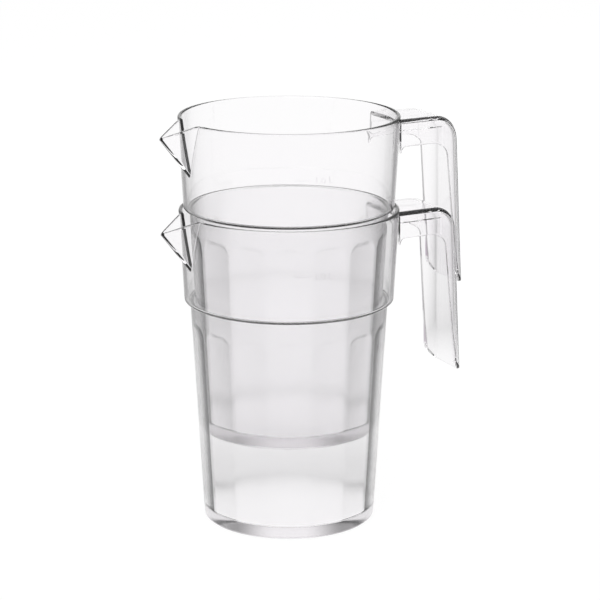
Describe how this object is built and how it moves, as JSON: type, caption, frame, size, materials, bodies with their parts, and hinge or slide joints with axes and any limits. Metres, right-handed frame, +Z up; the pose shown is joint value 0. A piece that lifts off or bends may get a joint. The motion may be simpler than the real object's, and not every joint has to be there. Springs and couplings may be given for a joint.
{
  "type": "beer pitcher",
  "caption": "Clear plastic stacking beer pitchers nested one in the other, each with a wide collar, a V-shaped beak spout, flat inner panels and an open hook handle.",
  "frame": {"origin": "centre of the lower pitcher's flat base, on the table it stands on", "axes": "+Z up along the axis of both pitchers, +X towards the handles, -X towards the spouts, +Y across them"},
  "size_m": [0.1686, 0.1154, 0.2162],
  "materials": {
    "clear_plastic": "clear moulded plastic, polished, with a faint violet-grey tint where walls lie one behind the other"
  },
  "bodies": {
    "lower_pitcher": {"lower_body": "clear_plastic", "lower_handle": "clear_plastic"},
    "upper_pitcher": {"upper_body": "clear_plastic", "upper_handle": "clear_plastic"}
  },
  "joints": [
    {"name": "lift_out", "type": "slide", "parent": "lower_pitcher", "child": "upper_pitcher", "axis": [0, 0, 1], "range_m": [0, 0.13]}
  ]
}
